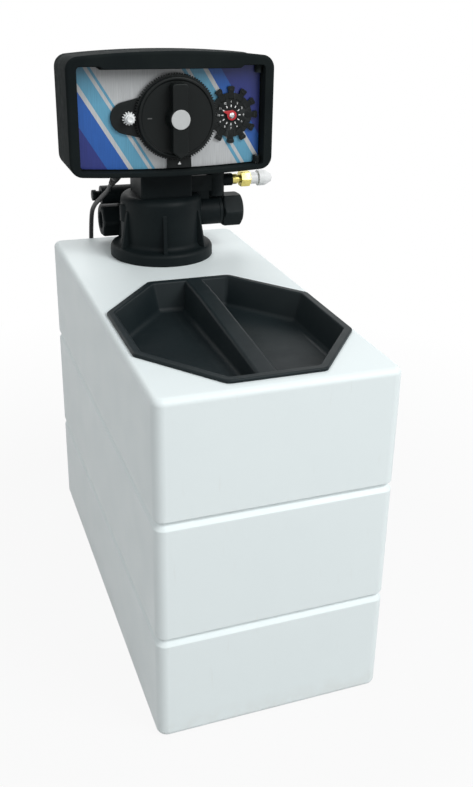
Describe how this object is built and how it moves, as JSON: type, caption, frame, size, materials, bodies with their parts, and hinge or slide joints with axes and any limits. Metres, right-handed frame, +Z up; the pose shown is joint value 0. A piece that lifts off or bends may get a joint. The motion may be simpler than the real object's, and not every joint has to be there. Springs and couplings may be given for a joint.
{
  "type": "water softener",
  "caption": "Compact cabinet water softener: white salt cabinet with a recessed black lid, and a time-clock control valve with dials on a resin vessel.",
  "frame": {"origin": "on the floor under the middle of the cabinet", "axes": "+Z up, front with the dials towards -Y, +X to the right seen from the front"},
  "size_m": [0.2515, 0.582, 0.591],
  "materials": {
    "cabinet_white": "moulded, semi-gloss",
    "lid_black": "moulded, fine texture",
    "valve_black": "moulded, satin",
    "head_black": "moulded, satin",
    "dial_black": "moulded, fine texture",
    "vessel_cream": "wound fibre and resin",
    "inner_white": "moulded, natural",
    "seal_rubber": "moulded",
    "brass": "turned",
    "steel": "zinc plated",
    "label_silver": "printed film",
    "pointer_red": "moulded",
    "cap_white": "moulded",
    "cord_black": "extruded, matt"
  },
  "bodies": {
    "cabinet": {"cabinet_shell": "cabinet_white", "resin_tank": "vessel_cream", "riser_tube": "inner_white", "strainers": "inner_white", "salt_grid": "inner_white", "brine_well": "inner_white", "brine_pickup": "inner_white", "valve_body": "valve_black", "seal_spacers": "inner_white", "piston_seals": "seal_rubber", "drain_tailpiece": "valve_black", "union_nuts": "valve_black", "bypass_body": "valve_black", "brine_valve_body": "valve_black", "brine_spring": "steel", "brass_tube": "brass", "brass_nut": "brass", "brine_end_cap": "cap_white", "head_frame": "head_black", "rear_cover": "head_black", "back_plate": "head_black", "cover_screws": "steel", "drive_motor": "steel", "hinge_pins": "steel", "cord_gland": "head_black", "power_cord": "cord_black", "cord_coil": "cord_black", "power_plug": "cord_black"},
    "lid": {"salt_lid": "lid_black"},
    "float": {"brine_float": "inner_white"},
    "piston": {"piston": "inner_white"},
    "spool": {"bypass_spool": "valve_black"},
    "stem": {"brine_stem": "inner_white"},
    "drive_gear": {"main_gear": "inner_white"},
    "motor_gear": {"motor_pinion": "inner_white"},
    "timer": {"timer_panel": "head_black", "face_label": "label_silver", "dial_base": "dial_black", "timer_motor": "steel", "day_pointer": "pointer_red", "wheel_screw": "steel"},
    "clock": {"clock_gear": "dial_black"},
    "minute_gear": {"clock_pinion": "cap_white"},
    "button": {"time_set_button": "cap_white"},
    "knob": {"regen_knob": "dial_black", "knob_disc": "cap_white", "program_wheel": "inner_white"},
    "days": {"day_wheel": "dial_black"},
    "day_tab_01": {"day_tab_01": "dial_black"},
    "day_tab_02": {"day_tab_02": "dial_black"},
    "day_tab_03": {"day_tab_03": "dial_black"},
    "day_tab_04": {"day_tab_04": "dial_black"},
    "day_tab_05": {"day_tab_05": "dial_black"},
    "day_tab_06": {"day_tab_06": "dial_black"},
    "day_tab_07": {"day_tab_07": "dial_black"},
    "day_tab_08": {"day_tab_08": "dial_black"},
    "day_tab_09": {"day_tab_09": "dial_black"},
    "day_tab_10": {"day_tab_10": "dial_black"},
    "day_tab_11": {"day_tab_11": "dial_black"},
    "day_tab_12": {"day_tab_12": "dial_black"}
  },
  "joints": [
    {"name": "lid_lift", "type": "slide", "parent": "cabinet", "child": "lid", "axis": [0, 0, 1], "range_m": [0, 0.09]},
    {"name": "float_rise", "type": "slide", "parent": "cabinet", "child": "float", "axis": [0, 0, 1], "range_m": [0, 0.06]},
    {"name": "piston_stroke", "type": "slide", "parent": "cabinet", "child": "piston", "axis": [0, 0, 1], "range_m": [0, 0.02]},
    {"name": "bypass_shift", "type": "slide", "parent": "cabinet", "child": "spool", "axis": [1, 0, 0], "range_m": [-0.005, 0.005]},
    {"name": "brine_valve_open", "type": "slide", "parent": "cabinet", "child": "stem", "axis": [0, 0, -1], "range_m": [0, 0.006], "stiffness_N_per_m": 250, "springref_m": -0.004, "deforming": ["brine_spring"]},
    {"name": "timer_swing", "type": "hinge", "parent": "cabinet", "child": "timer", "pos_m": [0.0985, 0.103, 0.52], "axis": [0, 0, 1], "range_deg": [0, 90]},
    {"name": "clock_turn", "type": "hinge", "parent": "timer", "child": "clock", "pos_m": [0.004, 0.1, 0.522], "axis": [0, -1, 0], "continuous": true},
    {"name": "minute_turn", "type": "hinge", "parent": "timer", "child": "minute_gear", "pos_m": [-0.04808, 0.1, 0.522], "axis": [0, -1, 0], "continuous": true},
    {"name": "time_set_press", "type": "slide", "parent": "minute_gear", "child": "button", "axis": [0, 1, 0], "range_m": [0, 0.002], "stiffness_N_per_m": 150, "springref_m": -0.003},
    {"name": "knob_turn", "type": "hinge", "parent": "timer", "child": "knob", "pos_m": [0.004, 0.1, 0.522], "axis": [0, -1, 0], "continuous": true},
    {"name": "drive_turn", "type": "hinge", "parent": "cabinet", "child": "drive_gear", "pos_m": [0.004, 0.13, 0.522], "axis": [0, -1, 0], "continuous": true},
    {"name": "motor_turn", "type": "hinge", "parent": "cabinet", "child": "motor_gear", "pos_m": [-0.03884, 0.135, 0.52955], "axis": [0, -1, 0], "continuous": true},
    {"name": "day_turn", "type": "hinge", "parent": "timer", "child": "days", "pos_m": [0.0675, 0.105, 0.522], "axis": [0, -1, 0], "continuous": true},
    {"name": "day_tab_01_pull", "type": "slide", "parent": "days", "child": "day_tab_01", "axis": [0, 0, 1], "range_m": [0, 0.0025]},
    {"name": "day_tab_02_pull", "type": "slide", "parent": "days", "child": "day_tab_02", "axis": [0.5, 0, 0.866], "range_m": [0, 0.0025]},
    {"name": "day_tab_03_pull", "type": "slide", "parent": "days", "child": "day_tab_03", "axis": [0.866, 0, 0.5], "range_m": [0, 0.0025]},
    {"name": "day_tab_04_pull", "type": "slide", "parent": "days", "child": "day_tab_04", "axis": [1, 0, 0], "range_m": [0, 0.0025]},
    {"name": "day_tab_05_pull", "type": "slide", "parent": "days", "child": "day_tab_05", "axis": [0.866, 0, -0.5], "range_m": [0, 0.0025]},
    {"name": "day_tab_06_pull", "type": "slide", "parent": "days", "child": "day_tab_06", "axis": [0.5, 0, -0.866], "range_m": [0, 0.0025]},
    {"name": "day_tab_07_pull", "type": "slide", "parent": "days", "child": "day_tab_07", "axis": [0, 0, -1], "range_m": [0, 0.0025]},
    {"name": "day_tab_08_pull", "type": "slide", "parent": "days", "child": "day_tab_08", "axis": [-0.5, 0, -0.866], "range_m": [0, 0.0025]},
    {"name": "day_tab_09_pull", "type": "slide", "parent": "days", "child": "day_tab_09", "axis": [-0.866, 0, -0.5], "range_m": [0, 0.0025]},
    {"name": "day_tab_10_pull", "type": "slide", "parent": "days", "child": "day_tab_10", "axis": [-1, 0, 0], "range_m": [0, 0.0025]},
    {"name": "day_tab_11_pull", "type": "slide", "parent": "days", "child": "day_tab_11", "axis": [-0.866, 0, 0.5], "range_m": [0, 0.0025]},
    {"name": "day_tab_12_pull", "type": "slide", "parent": "days", "child": "day_tab_12", "axis": [-0.5, 0, 0.866], "range_m": [0, 0.0025]}
  ],
  "couplings": [
    {"joint": "minute_turn", "follows": "clock_turn", "ratio": -7},
    {"joint": "drive_turn", "follows": "knob_turn", "ratio": 1},
    {"joint": "motor_turn", "follows": "knob_turn", "ratio": -4.8}
  ]
}
